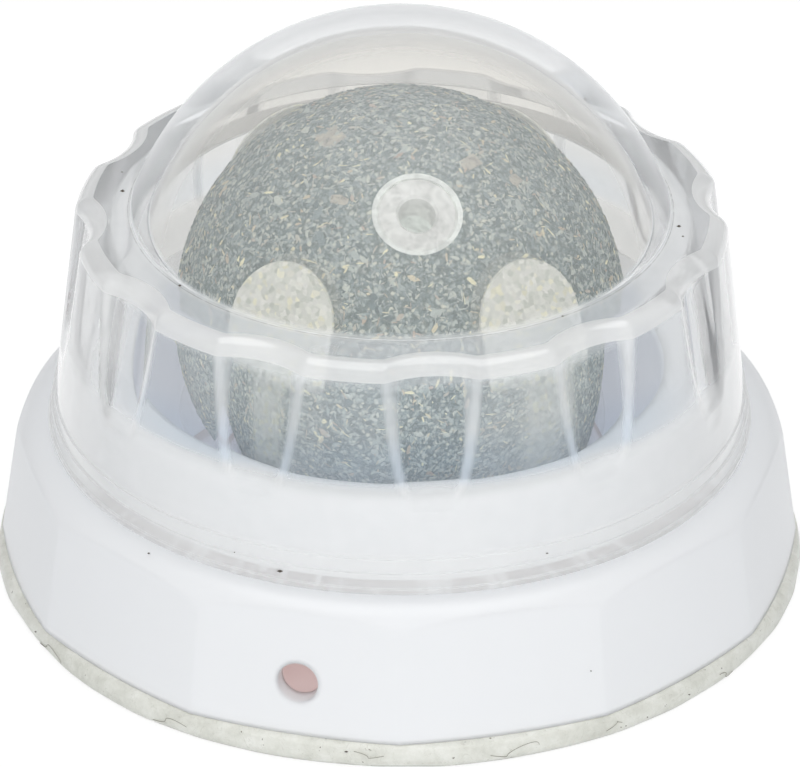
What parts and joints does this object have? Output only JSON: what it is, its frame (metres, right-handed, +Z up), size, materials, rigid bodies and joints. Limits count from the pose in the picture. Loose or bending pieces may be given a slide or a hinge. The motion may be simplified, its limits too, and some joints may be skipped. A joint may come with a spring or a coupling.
{
  "type": "cat ball toy",
  "caption": "A pressed silvervine ball that rolls in soft claws on a white faceted base with a gel pad, under a clear fluted dust cover that lifts off.",
  "frame": {"origin": "middle of the gel pad's underside", "axes": "+Z up through the middle of the toy, -Y towards the front (the side with the hole), +X to the right"},
  "size_m": [0.0608, 0.0608, 0.0434],
  "materials": {
    "gel": "tacky, slightly cloudy",
    "white_plastic": "satin",
    "frosted_plastic": "frosted",
    "pressed_silvervine": "rough pressed chips",
    "core_plastic": "milky, translucent",
    "clear_plastic": "clear, slightly hazy"
  },
  "bodies": {
    "base": {"adhesive_pad": "gel", "bottom_plate": "white_plastic", "base_shell": "white_plastic", "claw_cup": "frosted_plastic"},
    "ball": {"silvervine_ball": "pressed_silvervine", "core_tube": "core_plastic", "core_plug_upper": "core_plastic", "core_plug_lower": "core_plastic"},
    "cover": {"dust_cover": "clear_plastic"}
  },
  "joints": [
    {"name": "ball_roll", "type": "hinge", "parent": "base", "child": "ball", "pos_m": [0, 0, 0.02065], "axis": [1, 0, 0], "continuous": true},
    {"name": "cover_lift", "type": "slide", "parent": "base", "child": "cover", "axis": [0, 0, 1], "range_m": [0, 0.03]}
  ]
}
